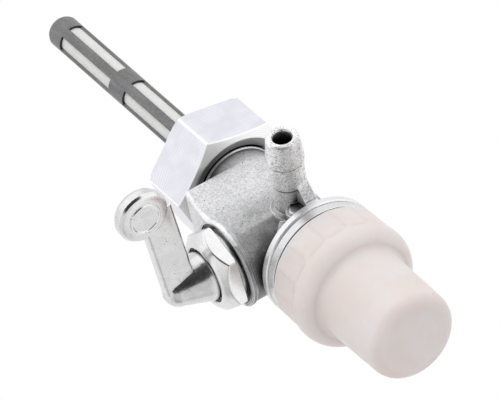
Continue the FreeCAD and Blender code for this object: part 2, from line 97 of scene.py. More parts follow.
class Wire:
    """A socket of a node tree that takes part in Python arithmetic."""

    def __init__(self, tree, socket):
        self.tree = tree
        self.socket = socket

    def node(self, kind, settings=None, inputs=None, output=0):
        """Adds a node: its settings first, then a value or a Wire on each named or numbered input."""
        made = self.tree.nodes.new(kind)
        for key, value in (settings or {}).items():
            setattr(made, key, value)
        for key, value in (inputs or {}).items():
            if isinstance(value, Wire):
                self.tree.links.new(value.socket, made.inputs[key])
            else:
                made.inputs[key].default_value = value
        return Wire(self.tree, made.outputs[output])

    def maths(self, operation, other=0.0, swapped=False, third=0.0):
        """A Math node on this socket and another value."""
        first, second = (other, self) if swapped else (self, other)
        return self.node("ShaderNodeMath", {"operation": operation}, {0: first, 1: second, 2: third})

    def __add__(self, other):
        return self.maths("ADD", other)

    def __radd__(self, other):
        return self.maths("ADD", other, True)

    def __sub__(self, other):
        return self.maths("SUBTRACT", other)

    def __rsub__(self, other):
        return self.maths("SUBTRACT", other, True)

    def __mul__(self, other):
        return self.maths("MULTIPLY", other)

    def __rmul__(self, other):
        return self.maths("MULTIPLY", other, True)

    def __truediv__(self, other):
        return self.maths("DIVIDE", other)

    def __rtruediv__(self, other):
        return self.maths("DIVIDE", other, True)

    def __pow__(self, other):
        return self.maths("POWER", other)

    def __lt__(self, other):
        return self.maths("LESS_THAN", other)

    def sine(self):
        return self.maths("SINE")

    def cosine(self):
        return self.maths("COSINE")

    def size(self):
        return self.maths("ABSOLUTE")

    def whole(self):
        return self.maths("FLOOR")

    def soft_least(self, other, softness):
        """The smaller of two, run into each other over the softness."""
        return self.maths("SMOOTH_MIN", other, False, softness)

    def least(self, other):
        return self.maths("MINIMUM", other)

    def most(self, other):
        return self.maths("MAXIMUM", other)

    def ease(self, low, high, to_low=0.0, to_high=1.0):
        """Goes smoothly from to_low at low to to_high at high."""
        return self.node(
            "ShaderNodeMapRange", {"interpolation_type": "SMOOTHSTEP"},
            {"Value": self, "From Min": low, "From Max": high, "To Min": to_low, "To Max": to_high})

    def axes(self):
        """The x, y and z of a vector."""
        split = self.node("ShaderNodeSeparateXYZ", None, {0: self})
        node = split.socket.node
        return [Wire(self.tree, node.outputs[i]) for i in range(3)]

    def along(self, way):
        """How far a vector reaches along another one."""
        other = way if isinstance(way, Wire) else tuple(way)
        return self.node("ShaderNodeVectorMath", {"operation": "DOT_PRODUCT"}, {0: self, 1: other}, 1)

    def scaled(self, sizes):
        """A vector times three numbers."""
        return self.node("ShaderNodeVectorMath", {"operation": "MULTIPLY"}, {0: self, 1: sizes})

    def mix(self, low, high):
        """The colour low where this is 0 and high where it is 1."""
        low = (*low, 1.0) if isinstance(low, tuple) else low
        high = (*high, 1.0) if isinstance(high, tuple) else high
        return self.node(
            "ShaderNodeMix", {"data_type": "RGBA", "clamp_factor": True}, {0: self, 6: low, 7: high}, 2)

    def noise(self, grain, detail=2.0, roughness=0.5):
        """Noise whose blotches are about grain metres across, from about 0 to 1."""
        return self.node(
            "ShaderNodeTexNoise", None,
            {"Vector": self, "Scale": 1.0 / grain, "Detail": detail, "Roughness": roughness})

    def cells(self, grain):
        """Distance to the nearest of points scattered about grain metres apart, as a share of grain."""
        return self.node("ShaderNodeTexVoronoi", None, {"Vector": self, "Scale": 1.0 / grain})

    def reach(self):
        """How far a place lies from the +Z axis."""
        x, y, _ = self.axes()
        return (x * x + y * y) ** 0.5

    def bearing(self):
        """The angle of a place round the +Z axis, from +X towards +Y."""
        x, y, _ = self.axes()
        return y.maths("ARCTAN2", x)

    def rounded(self, reach):
        """The normal as if every edge were rounded by reach."""
        return self.node("ShaderNodeBevel", {"samples": 6}, {"Radius": reach})

    def edges(self, reach):
        """1 on a band along the sharp edges and 0 elsewhere."""
        flat = self.node("ShaderNodeNewGeometry", None, None, 1)
        return (1 - self.rounded(reach).along(flat)).ease(0.006, 0.075)

    def facing(self):
        """The x, y and z of the piece's own normal."""
        return self.node("ShaderNodeTexCoord", None, None, 1).axes()

    def hollow(self, reach):
        """From 0 in the open to 1 where the surface is closed in within reach."""
        return 1 - self.node("ShaderNodeAmbientOcclusion", {"samples": 8}, {"Distance": reach}, 1)

    def bump(self, distance, strength=1.0, under=None):
        """A normal from this height."""
        inputs = {"Height": self, "Distance": distance, "Strength": strength}
        if under is not None:
            inputs["Normal"] = under
        return self.node("ShaderNodeBump", None, inputs)


def faded(colour, share):
    """A colour made darker or paler, kept below white."""
    return tuple(min(1.0, c * share) for c in colour)


def finish(name, build, **plain):
    """A material. build(place) gives what varies over the surface, and plain is set as it is."""
    material = bpy.data.materials.new(name)
    material.use_nodes = True
    tree = material.node_tree
    tree.nodes.clear()
    start = tree.nodes.new("ShaderNodeTexCoord")
    place = Wire(tree, start.outputs["Object"])
    varying = build(place)
    shader = place.node("ShaderNodeBsdfPrincipled", None, {**plain, **varying})
    out = tree.nodes.new("ShaderNodeOutputMaterial")
    tree.links.new(shader.socket, out.inputs["Surface"])
    return material


# Finishes


def cast_zinc():
    """Die-cast zinc: a pale mottled skin with pits and flow marks, with painted shade in the hollows and
    painted highlights along the edges and round the flange's rim.

    Below the flange's top the zinc is turned, so it is smoother and paler there. The barb is whiter,
    with a painted shadow line behind each of its steps and less of the painted shade that darkens the
    casting above the flange.
    """
    tint = tuple(bpy.context.scene.fuel_tap_finishes.casting)
    black = (0.04, 0.037, 0.035)
    step_shadow_black = (0.05, 0.047, 0.045)
    edge_highlight_white = (0.97, 0.97, 0.98)

    def build(place):
        x, y, height = place.axes()
        above = height - FLANGE_TOP * MM
        spout = x.ease(8.7 * MM, 10.2 * MM) * above.ease(0.1 * MM, 0.5 * MM)
        turned = above.ease(0.15 * MM, -0.05 * MM)
        as_cast = 1 - turned * 0.85
        grain = place.noise(0.34 * MM, 2.0, 0.65)
        mottle = place.noise(1.6 * MM, 3.0, 0.6)
        stain = place.noise(5.5 * MM, 2.0, 0.5)
        level = grain * 0.68 + mottle * 0.22 + stain * 0.1
        skin = level.ease(0.37, 0.6).mix(faded(tint, 0.9), faded(tint, 1.3))
        skin = (turned * 0.8).mix(skin, faded(tint, 1.08))
        # Painted highlight: a paler band round the outer rim of the flange.
        flange_rim_highlight = turned * (place.reach() - FLANGE_RADIUS * MM).ease(-0.4 * MM, -0.15 * MM)
        skin = (flange_rim_highlight * 0.85).mix(skin, faded(tint, 1.55))
        skin = (spout * level.ease(0.38, 0.54) * 0.85).mix(skin, faded(tint, 1.7))

        # Painted shade: darker towards the flange and at the barb's foot, broken up by the mottle; foot
        # holds it.
        shade_toward_flange = above.ease(19.1 * MM, 3.1 * MM) * as_cast * (1 - spout)
        foot = shade_toward_flange * (stain * 0.6 + level * 0.4).ease(0.38, 0.62, 1.0, 0.62)
        barb_foot_shade = spout * above.ease(3.6 * MM, 0.6 * MM) * 0.4
        skin = foot.most(barb_foot_shade).mix(skin, faded(tint, 0.33))
        # Painted shade: darker where the surface is closed in, nearly black in the deepest hollows and
        # creases.
        painted_hollow_shade = place.hollow(4.5 * MM)
        skin = (painted_hollow_shade.ease(0.22, 0.8) * 0.75).mix(skin, faded(tint, 0.2))
        skin = (place.hollow(0.6 * MM).ease(0.25, 0.65) * 0.6).mix(skin, faded(tint, 0.1))
        skin = (painted_hollow_shade.ease(0.46, 0.7) * 0.97).mix(skin, faded(tint, 0.02))

        picked = place.noise(2.4 * MM, 0.0)
        pit = (1 - place.cells(0.95 * MM).ease(0.07, 0.19)) * (picked + spout * 0.1).ease(0.54, 0.6)
        crease = (place.noise(1.9 * MM, 3.0, 0.6) - 0.5).size()
        mark = (1 - crease.ease(0.003, 0.016)) * (stain + spout * 0.11).ease(0.6, 0.66)
        skin = (pit.most(mark * (spout * 0.4 + 0.4)) * as_cast).mix(skin, black)

        # Painted highlights: white along the sharp edges and along the brow of the block's front face.
        front = (height - BROW_LOW * MM).most(0.0) * BROW_SLOPE - y
        brow_highlight = x.size().ease((BLOCK_HALF - 0.95) * MM, (BLOCK_HALF - 0.6) * MM)
        brow_highlight = brow_highlight * front.ease((BLOCK_FRONT - 0.95) * MM, (BLOCK_FRONT - 0.6) * MM)
        brow_highlight = brow_highlight * level.ease(0.3, 0.5, 0.5, 1.0)
        skin = (place.edges(0.42 * MM) * 0.9).most(brow_highlight * 0.85).mix(skin, edge_highlight_white)
        # Painted shadow: a dark line behind each step of the barb.
        skin = (barb_step_shadows(x, height) * spout * mottle.ease(0.38, 0.55, 0.45, 0.95)).mix(skin, step_shadow_black)
        relief = (grain * 0.35 + mottle * 0.5 - pit * 1.3 - mark * 0.4) * as_cast
        return {
            "Base Color": skin, "Roughness": level.ease(0.38, 0.62, 0.46, 0.36) - turned * 0.1,
            "Normal": relief.bump(0.07 * MM, 0.6, place.rounded(0.22 * MM))}

    return finish("cast_zinc", build, Metallic=0.75)


def barb_step_shadows(x, height):
    """1 on a line of painted shadow round the barb just behind each of its steps, and 0 elsewhere and on
    its web.
    """
    lean = math.radians(BARB_LEAN)
    out = x - BARB_TIP_X * MM
    up = height - BARB_TIP_Z * MM
    from_tip = up * math.sin(lean) - out * math.cos(lean)
    across = up * math.cos(lean) + out * math.sin(lean)
    first, second = [(from_tip - (step + 0.25) * MM).size() for step in BARB_STEPS]
    return (1 - first.least(second).ease(0.1 * MM, 0.34 * MM)) * across.ease(-4.25 * MM, -3.95 * MM)


def milled_aluminium(flat):
    """Bright aluminium with the faint arcs of a face cutter on the flats, greyer on its turned ends.

    Painted highlights, as white lines, mark the six corners and the arcs where the flats, which stand at
    the distance flat, meet the cone round the lower end. The ring inside that end's mouth and the
    hollows are painted in shade.
    """
    tint = tuple(bpy.context.scene.fuel_tap_finishes.nut)
    white = (1.0, 1.0, 1.0)
    shade = (0.16, 0.16, 0.16)
    cutter_drop, cutter_feed, turning_feed = 34.0 * MM, 0.66 * MM, 0.4 * MM
    cone_slope = (NUT_CONE_TOP - NUT_LOW) / (NUT_BLANK - NUT_FACE)
    sector = math.pi / 3

    def build(place):
        x, y, z = place.axes()
        reach = place.reach()
        drop = z + cutter_drop
        sweep = (x * x + y * y + drop * drop) ** 0.5
        wobble = place.noise(4.0 * MM, 1.0)
        lines = (sweep * (2 * math.pi / cutter_feed) + wobble * 11.0).sine() * 0.5 + 0.5
        patch = place.noise(5.5 * MM, 2.0, 0.5).ease(0.42, 0.62, 0.12, 0.85)
        cloud = place.noise(3.0 * MM, 3.0, 0.6)
        level = lines * patch * 0.5 + cloud * 0.5
        skin = level.ease(0.15, 0.7).mix(faded(tint, 0.93), faded(tint, 1.05))

        rings = (reach * (2 * math.pi / turning_feed) + wobble * 2.0).sine() * 0.5 + 0.5
        turned = place.facing()[2].size().ease(0.35, 0.6)
        grey = (rings * 0.4 + cloud * 0.6).ease(0.2, 0.8).mix((0.78, 0.78, 0.78), (0.88, 0.88, 0.88))
        skin = turned.mix(skin, grey)
        inside = 1 - reach.ease((NUT_MOUTH - 0.075) * MM, (NUT_MOUTH + 0.075) * MM)
        above_cone = z - NUT_CONE_TOP * MM
        mouth = turned * inside * (1 - above_cone.ease(0.0, 0.4 * MM))
        skin = (mouth * 0.62).mix(skin, shade)
        # Painted shade: darker where the nut is closed in.
        painted_hollow_shade = place.hollow(3.0 * MM).ease(0.3, 0.92)
        skin = (painted_hollow_shade * 0.8).mix(skin, faded(tint, 0.1))

        # Painted highlights: white lines along the six corners and round the rims of the cone.
        turn = (place.bearing() - math.radians(NUT_TURN)) / sector + 12
        off = (turn.maths("FRACT") - 0.5).size()
        outside = reach.ease(flat - 0.4 * MM, flat - 0.2 * MM)
        corner = off.ease(0.474, 0.488) * (1 - turned) * outside
        off_cone = above_cone + (NUT_BLANK * MM - reach) * cone_slope
        low_rim_highlight = (1 - off_cone.size().ease(0.1 * MM, 0.24 * MM)) * (1 - turned) * outside
        cone_rim_highlight = (reach * (off * sector).cosine()).ease(flat - 0.22 * MM, flat - 0.1 * MM) * turned
        skin = (corner.most(low_rim_highlight).most(cone_rim_highlight) * 0.95).mix(skin, white)
        return {
            "Base Color": skin, "Roughness": level.ease(0.1, 0.8, 0.3, 0.38),
            "Normal": (lines * patch).bump(0.006 * MM, 0.6)}

    return finish("milled_aluminium", build, Metallic=0.85)


def bright_plate(name, tint, grain_depth, waviness=0.9):
    """Bright plating over a cast or turned surface, with dark specks under it, painted shade in its
    hollows and painted highlights along its edges.
    """
    white = (1.0, 1.0, 1.0)
    speck_brown = (0.1, 0.09, 0.085)

    def build(place):
        wave = place.noise(2.2 * MM, 3.0, 0.6)
        grain = place.noise(0.35 * MM, 3.0, 0.6)
        specks = place.cells(0.8 * MM)
        picked = place.noise(1.9 * MM, 0.0)
        mark = (1 - specks.ease(0.07, 0.19)) * picked.ease(0.5, 0.57)
        level = wave * 0.5 + grain * 0.5
        skin = level.ease(0.35, 0.65).mix(faded(tint, 0.92), faded(tint, 1.07))
        skin = (mark * grain_depth).mix(skin, speck_brown)
        # Painted shade: darker in the hollows and in narrow creases.
        painted_hollow_shade = place.hollow(2.5 * MM).ease(0.25, 0.9).most(place.hollow(0.5 * MM).ease(0.14, 0.45))
        skin = (painted_hollow_shade * 0.65).mix(skin, faded(tint, 0.14))
        # Painted highlight: white along the sharp edges, with the specks kept dark on them.
        rim = place.edges(0.3 * MM)
        skin = (rim * 0.9).mix(skin, white)
        skin = (rim * mark * 0.8).mix(skin, speck_brown)
        height = wave * waviness + grain * grain_depth * 0.6 - mark * grain_depth
        return {
            "Base Color": skin, "Roughness": level.ease(0.3, 0.8, 0.15, 0.28),
            "Normal": height.bump(0.05 * MM, 0.5, place.rounded(0.16 * MM))}

    return finish(name, build, Metallic=1.0)


def cage_plastic():
    """Dark grey moulded plastic with a worn, dusty bloom with streaks, painted nearly black as shade where
    it faces down and in its hollows.
    """
    tint = tuple(bpy.context.scene.fuel_tap_finishes.cage)
    black = (0.006, 0.006, 0.006)

    def build(place):
        dust = place.noise(0.5 * MM, 3.0, 0.7)
        streak = place.scaled((1.0, 1.0, 0.12)).noise(1.1 * MM, 2.0)
        level = dust * 0.55 + streak * 0.45
        colour = level.ease(0.38, 0.66).mix(faded(tint, 0.72), faded(tint, 1.25))
        # Painted shade: nearly black where the plastic faces down and where it is closed in.
        under = (0 - place.facing()[2]).ease(0.4, 0.7)
        painted_hollow_shade = place.hollow(1.2 * MM).ease(0.5, 0.9)
        colour = (under.most(painted_hollow_shade) * 0.92).mix(colour, black)
        return {
            "Base Color": colour, "Roughness": level.ease(0.3, 0.8, 0.34, 0.55),
            "Normal": dust.bump(0.03 * MM, 0.5)}

    return finish("cage_plastic", build, Metallic=0.0)


def woven_gauze():
    """White gauze: over and under threads round the tube and along it."""
    pitch = 0.24
    in_gap, on_thread = (0.6, 0.6, 0.59), (0.93, 0.93, 0.92)

    def build(place):
        along = (place.axes()[2] * (math.pi / (pitch * MM))).sine()
        round_it = (place.bearing() * (math.pi * GAUZE_RADIUS / pitch)).sine()
        threads = (along * along).most(round_it * round_it)
        slack = place.noise(3.0 * MM, 2.0)
        colour = (threads * 0.75 + slack * 0.35).ease(0.3, 1.0).mix(in_gap, on_thread)
        return {"Base Color": colour, "Normal": (threads * 0.8 + slack * 2.0).bump(0.06 * MM, 0.7)}

    return finish("woven_gauze", build, Metallic=0.0, Roughness=0.8)


def moulded_nylon(sides):
    """Off-white moulded nylon: milky, softly glossy, with warm blotches and a few scuffs.

    Painted shade darkens the hollows, the ridges between the flats and the step where the flats end.
    """
    tint = tuple(bpy.context.scene.fuel_tap_finishes.bowl)
    warm = (tint[0] * 0.99, tint[1] * 0.94, tint[2] * 0.92)
    shaded = (tint[0] * 0.72, tint[1] * 0.6, tint[2] * 0.55)
    scuffed = (0.3, 0.27, 0.25)
    sector = 2 * math.pi / sides

    def build(place):
        blush = place.noise(9.0 * MM, 3.0, 0.5)
        dust = place.noise(1.2 * MM, 3.0, 0.6)
        scuffs = place.scaled((1.0, 0.45, 1.0)).cells(2.3 * MM)
        picked = place.noise(5.0 * MM, 1.0)
        scuff = (1 - scuffs.ease(0.03, 0.1)) * picked.ease(0.56, 0.62)
        past_end = place.axes()[2] - BOWL_FLAT_END * MM
        turn = (place.bearing() - math.radians(BOWL_TURN)) / sector + 2 * sides
        off = (turn.maths("FRACT") - 0.5).size()
        outside = place.reach().ease(12.0 * MM, 12.2 * MM)
        fluted = past_end.ease(-0.25 * MM, 0.25 * MM) * outside
        # Painted shade: darker along the ridges between the flats, at the step where the flats end, and in
        # the hollows.
        ridge_shade = off.ease(0.33, 0.5) * fluted * dust.ease(0.3, 0.65, 0.3, 1.0)
        step = (1 - past_end.size().ease(0.1 * MM, 0.75 * MM)) * off.ease(0.5, 0.2)
        step = step * outside * dust.ease(0.3, 0.65, 0.4, 1.0)
        colour = blush.ease(0.38, 0.66).mix(tint, warm)
        colour = (dust.ease(0.35, 0.7) * 0.2).mix(colour, faded(tint, 0.92))
        painted_hollow_shade = place.hollow(5.0 * MM).ease(0.05, 0.45)
        painted_shade = (painted_hollow_shade * 0.75).most(ridge_shade * 0.2).most(step * 0.28)
        colour = painted_shade.mix(colour, shaded)
        colour = (scuff * 0.8).mix(colour, scuffed)
        return {
            "Base Color": colour, "Roughness": (blush * 0.5 + dust * 0.5).ease(0.3, 0.7, 0.34, 0.48),
            "Normal": (blush + dust * 0.2).bump(0.05 * MM, 0.4)}

    return finish(
        "moulded_nylon", build, **{
            "Metallic": 0.0, "Subsurface Weight": 0.35, "Subsurface Scale": 2.5 * MM,
            "Subsurface Radius": (1.0, 0.62, 0.5)})


def plain_finish(name, low, high, grain, rough, metallic=0.0):
    """A finish with one grain, for the small pieces inside."""

    def build(place):
        speck = place.noise(grain, 3.0, 0.6)
        return {
            "Base Color": speck.ease(0.35, 0.7).mix(low, high),
            "Roughness": speck.ease(0.3, 0.75, rough * 0.85, min(1.0, rough * 1.15)),
            "Normal": speck.bump(0.03 * MM, 0.5)}

    return finish(name, build, Metallic=metallic)


# Turned pieces with flats and a thread


TURNED_INPUTS = (
    ("Sides", "NodeSocketInt", 6), ("Steps on a side", "NodeSocketInt", 24),
    ("Turn", "NodeSocketFloat", 0.0), ("Flat", "NodeSocketFloat", 1.0), ("Lean", "NodeSocketFloat", 0.0),
    ("Top", "NodeSocketFloat", 0.0), ("Softness", "NodeSocketFloat", 0.1 * MM),
    ("Flat end", "NodeSocketFloat", -1.0), ("Run-out", "NodeSocketFloat", 0.5 * MM),
    ("Thread radius", "NodeSocketFloat", 0.0), ("Thread low", "NodeSocketFloat", 0.0),
    ("Thread high", "NodeSocketFloat", 0.0), ("Thread depth", "NodeSocketFloat", 0.0),
    ("Thread pitch", "NodeSocketFloat", 1.0 * MM), ("Finish", "NodeSocketMaterial", None))


def turned_tree():
    """A tree that turns an outline about +Z, cuts flats on it and a right-hand thread in one wall.

    The outline is a chain of points with x as the radius. Each flat stands Flat from the axis at the
    height Top, leans out by Lean for each metre below it, and ends in a round step at Flat end. The
    steps on a side crowd towards its corners, and the thread fades in and out over one pitch.
    """
    crowding = 0.8
    turn_once = 2 * math.pi
    tree = bpy.data.node_groups.new("turned_with_flats", "GeometryNodeTree")
    tree.interface.new_socket("Outline", in_out="INPUT", socket_type="NodeSocketGeometry")
    for name, kind, value in TURNED_INPUTS:
        made = tree.interface.new_socket(name, in_out="INPUT", socket_type=kind)
        if value is not None:
            made.default_value = value
    tree.interface.new_socket("Piece", in_out="OUTPUT", socket_type="NodeSocketGeometry")
    entry = tree.nodes.new("NodeGroupInput")
    given = {socket.name: Wire(tree, socket) for socket in entry.outputs if socket.name}
    outline = given["Outline"]
    sides = given["Sides"]

    rows = outline.node("GeometryNodeAttributeDomainSize", {"component": "MESH"}, {0: outline})
    columns = sides * given["Steps on a side"] + 1
    sheet = outline.node(
        "GeometryNodeMeshGrid", None,
        {"Size X": 1.0, "Size Y": 1.0, "Vertices X": columns, "Vertices Y": rows})
    place = outline.node("GeometryNodeInputPosition")
    across, along, _ = place.axes()
    row = ((along + 0.5) * (rows - 1)).maths("ROUND")
    point = outline.node(
        "GeometryNodeSampleIndex", {"data_type": "FLOAT_VECTOR", "domain": "POINT"},
        {"Geometry": outline, "Value": place, "Index": row})
    radius, _, height = point.axes()

    round_it = (across + 0.5) * sides
    side = round_it.whole()
    share = round_it - side - 0.5
    share = share + (share * turn_once).sine() * (crowding / turn_once)
    sector = turn_once / sides
    angle = (side + 0.5 + share) * sector + given["Turn"]
    off = (share * sector).size()
    end, run = given["Flat end"], given["Run-out"]
    reach = given["Flat"] + (given["Top"] - height) * given["Lean"]
    reach = reach + height.ease(end - run * 0.5, end + run * 0.5, 1.0, 0.0) * run
    softness = given["Softness"]
    flat = (reach / off.cosine()).soft_least(reach / (sector - off).cosine(), softness)
    cut = radius.soft_least(flat, softness)

    pitch = given["Thread pitch"]
    wave = (height / pitch - angle * (1 / turn_once)).maths("FRACT")
    groove = ((wave * 2 - 1).size() * 1.4 - 0.25).ease(0.0, 1.0)
    ends = height.ease(given["Thread low"], given["Thread low"] + pitch)
    ends = ends * (1 - height.ease(given["Thread high"] - pitch, given["Thread high"]))
    wall = (radius - given["Thread radius"]).size() < 0.01 * MM
    cut = cut + groove * ends * wall * given["Thread depth"]

    spot = cut.node(
        "ShaderNodeCombineXYZ", None, {"X": cut * angle.cosine(), "Y": cut * angle.sine(), "Z": height})
    formed = spot.node("GeometryNodeSetPosition", None, {"Geometry": sheet, "Position": spot})
    closed = formed.node("GeometryNodeMergeByDistance", None, {"Geometry": formed, "Distance": 0.002 * MM})
    smooth = closed.node("GeometryNodeSetShadeSmooth", None, {"Geometry": closed})
    whole = smooth.node("GeometryNodeRealizeInstances", None, {"Geometry": smooth})
    done = whole.node("GeometryNodeSetMaterial", None, {"Geometry": whole, "Material": given["Finish"]})
    leave = tree.nodes.new("NodeGroupOutput")
    tree.links.new(done.socket, leave.inputs[0])
    return tree


def outline_rows(corners, softness, closed):
    """Points of a turned outline: every corner is rounded and every run is divided.

    A corner is (radius, height, spacing of the run that starts there), in millimetres.
    """
    spots = [Vector((r, h)) for r, h, _ in corners]
    count = len(spots)
    rows = []
    for i, spot in enumerate(spots):
        if not closed and i in (0, count - 1):
            arc = [spot]
        else:
            before, after = spots[i - 1] - spot, spots[(i + 1) % count] - spot
            cut = min(softness, before.length * 0.4, after.length * 0.4)
            first, last = spot + before.normalized() * cut, spot + after.normalized() * cut
            arc = [
                first * (1 - t) ** 2 + spot * (2 * t * (1 - t)) + last * t * t
                for t in (0, 1 / 3, 2 / 3, 1)]
        if rows:
            run = arc[0] - rows[-1]
            parts = max(1, math.ceil(run.length / corners[i - 1][2]))
            rows += [rows[-1] + run * (k / parts) for k in range(1, parts)]
        rows += arc
    if closed:
        run = rows[0] - rows[-1]
        parts = max(1, math.ceil(run.length / corners[-1][2]))
        rows += [rows[-1] + run * (k / parts) for k in range(1, parts + 1)]
    return [(r * MM, 0.0, h * MM) for r, h in rows]


def turned_piece(name, corners, material, rounding=0.12, closed=True, placed=None, **sizes):
    """A turned piece made by the tree from its outline in millimetres and the tree's named inputs."""
    crease = 40.0
    rows = outline_rows(corners, rounding, closed)
    chain = bpy.data.meshes.new(name + "_outline")
    chain.from_pydata(rows, [(i, i + 1) for i in range(len(rows) - 1)], [])
    holder = bpy.data.objects.new(name + "_outline", chain)
    bpy.context.scene.collection.objects.link(holder)
    made = holder.modifiers.new("turned", "NODES")
    made.node_group = bpy.data.node_groups.get("turned_with_flats") or turned_tree()
    sizes["Finish"] = material
    for socket in made.node_group.interface.items_tree:
        if socket.in_out == "INPUT" and socket.name in sizes:
            made[socket.identifier] = sizes[socket.name]
    ready = holder.evaluated_get(bpy.context.evaluated_depsgraph_get())
    mesh = bpy.data.meshes.new_from_object(ready)
    holder.modifiers.remove(made)
    bpy.data.objects.remove(holder)
    shape = bmesh.new()
    shape.from_mesh(mesh)
    bpy.data.meshes.remove(mesh)
    bmesh.ops.remove_doubles(shape, verts=shape.verts, dist=0.002 * MM)
    bmesh.ops.dissolve_degenerate(shape, edges=shape.edges, dist=0.0005 * MM)
    bmesh.ops.recalc_face_normals(shape, faces=shape.faces)
    if placed is not None:
        bmesh.ops.transform(shape, matrix=placed, verts=shape.verts)
    return smooth_piece(name, shape, material, crease)


# Meshes


def seat(mesh_object, body, *nodes, slot=None):
    """Lets a finished piece move with its body and stand for its CAD nodes."""
    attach(mesh_object, body)
    if nodes:
        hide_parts(*nodes)
    return mesh_object


def add_piece(name, mesh, material):
    """Links a new object made of a mesh, with one material."""
    piece = bpy.data.objects.new(name, mesh)
    bpy.context.scene.collection.objects.link(piece)
    mesh.materials.clear()
    mesh.materials.append(material)
    return piece


def merged_copy(node):
    """A bmesh of a CAD node with its loose triangles joined."""
    shape = bmesh.new()
    shape.from_mesh(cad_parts[node].data)
    bmesh.ops.remove_doubles(shape, verts=shape.verts, dist=0.002 * MM)
    bmesh.ops.dissolve_degenerate(shape, edges=shape.edges, dist=0.002 * MM)
    return shape


def smooth_piece(name, shape, material, crease=28.0):
    """A piece from a bmesh, smooth except where faces meet at more than the crease angle."""
    mesh = bpy.data.meshes.new(name)
    for face in shape.faces:
        face.smooth = True
    limit = math.radians(crease)
    for edge in shape.edges:
        edge.smooth = len(edge.link_faces) == 2 and edge.calc_face_angle(math.pi) < limit
    shape.to_mesh(mesh)
    shape.free()
    return add_piece(name, mesh, material)


def carried_over(node, body, slot, material, crease=28.0):
    """A smooth copy of a CAD node, which stands for it."""
    piece = smooth_piece(node + "_piece", merged_copy(node), material, crease)
    return seat(piece, body, node, slot=slot)


# Sizes, colours and the studio


class FuelTapSizes(bpy.types.PropertyGroup):
    """Sizes of the nuts, the bowl and the threads."""

    nut_flats: bpy.props.FloatProperty(
        name="Union nut flats", description="Width of the union nut across its flats",
        default=24.0 * MM, min=10.0 * MM, unit="LENGTH", precision=5)
    gland_flats: bpy.props.FloatProperty(
        name="Gland nut flats", description="Width of the gland nut across its flats",
        default=16.0 * MM, min=10.0 * MM, unit="LENGTH", precision=5)
    bowl_sides: bpy.props.IntProperty(
        name="Bowl flats", description="Number of flats round the bowl's collar", default=16, min=3)
    bowl_flat: bpy.props.FloatProperty(
        name="Bowl flat distance", description="Distance of a flat from the axis at the collar's top",
        default=12.65 * MM, min=10.0 * MM, unit="LENGTH", precision=5)
    bowl_lean: bpy.props.FloatProperty(
        name="Bowl flat lean", description="How far a flat leans out for each unit of height going down",
        default=0.012, precision=4)
    bowl_thread_pitch: bpy.props.FloatProperty(
        name="Bowl thread pitch", description="Rise of the bowl's thread in one turn",
        default=1.5 * MM, min=0.2 * MM, unit="LENGTH", precision=5)
    bowl_thread_depth: bpy.props.FloatProperty(
        name="Bowl thread depth", description="Depth of the groove cut in the bowl's bore",
        default=0.55 * MM, min=0.0, unit="LENGTH", precision=5)
    nut_thread_pitch: bpy.props.FloatProperty(
        name="Nut thread pitch", description="Rise of the union nut's thread in one turn",
        default=1.0 * MM, min=0.2 * MM, unit="LENGTH", precision=5)
    nut_thread_depth: bpy.props.FloatProperty(
        name="Nut thread depth", description="Depth of the groove cut in the union nut's bore",
        default=0.5 * MM, min=0.0, unit="LENGTH", precision=5)


class FuelTapFinishes(bpy.types.PropertyGroup):
    """Colours of the finishes."""

    casting: bpy.props.FloatVectorProperty(
        name="Casting", description="Colour of the zinc casting", size=3, subtype="COLOR",
        default=(0.6, 0.6, 0.61), min=0.0, max=1.0)
    nut: bpy.props.FloatVectorProperty(
        name="Union nut", description="Colour of the milled aluminium", size=3, subtype="COLOR",
        default=(0.8, 0.795, 0.86), min=0.0, max=1.0)
    plate: bpy.props.FloatVectorProperty(
        name="Plating", description="Colour of the bright plating", size=3, subtype="COLOR",
        default=(0.69, 0.69, 0.69), min=0.0, max=1.0)
    cage: bpy.props.FloatVectorProperty(
        name="Strainer cage", description="Colour of the cage's plastic", size=3, subtype="COLOR",
        default=(0.17, 0.17, 0.175), min=0.0, max=1.0)
    bowl: bpy.props.FloatVectorProperty(
        name="Bowl", description="Colour of the bowl's nylon", size=3, subtype="COLOR",
        default=(0.8, 0.745, 0.73), min=0.0, max=1.0)


class FuelTapStudio(bpy.types.PropertyGroup):
    """The stage's light and background."""

    fill: bpy.props.FloatProperty(
        name="Fill light", description="Even light that the white room throws on the part",
        default=0.8, min=0.0)
    room: bpy.props.FloatProperty(
        name="Room light", default=0.46, min=0.0,
        description="Brightness of the room on the camera's side, as metal mirrors it")
    key: bpy.props.FloatProperty(
        name="Main lamp", description="Power of the large soft lamp", default=1.5, min=0.0,
        subtype="POWER")


# The stage's parts


def place_camera(scene):
    """Puts the camera where the photograph's stood, with the same view."""
    distance, aside, below = 1.2569, 4.507 * MM, 4.983 * MM
    sensor = 36.0
    eye = CAMERA_BACK * distance
    aim = CAMERA_RIGHT * aside - CAMERA_UP * below
    away = (eye - aim).normalized()
    level = (CAMERA_UP - away * CAMERA_UP.dot(away)).normalized()
    turn = Matrix((level.cross(away), level, away)).transposed()
    camera = bpy.data.objects.new("camera", bpy.data.cameras.new("camera"))
    scene.collection.objects.link(camera)
    camera.matrix_world = Matrix.Translation(eye) @ turn.to_4x4()
    camera.data.sensor_width = sensor
    camera.data.lens = sensor * CAMERA_FOCAL / PHOTO_WIDTH
    camera.data.clip_start = 0.05
    camera.data.clip_end = 20.0
    scene.camera = camera


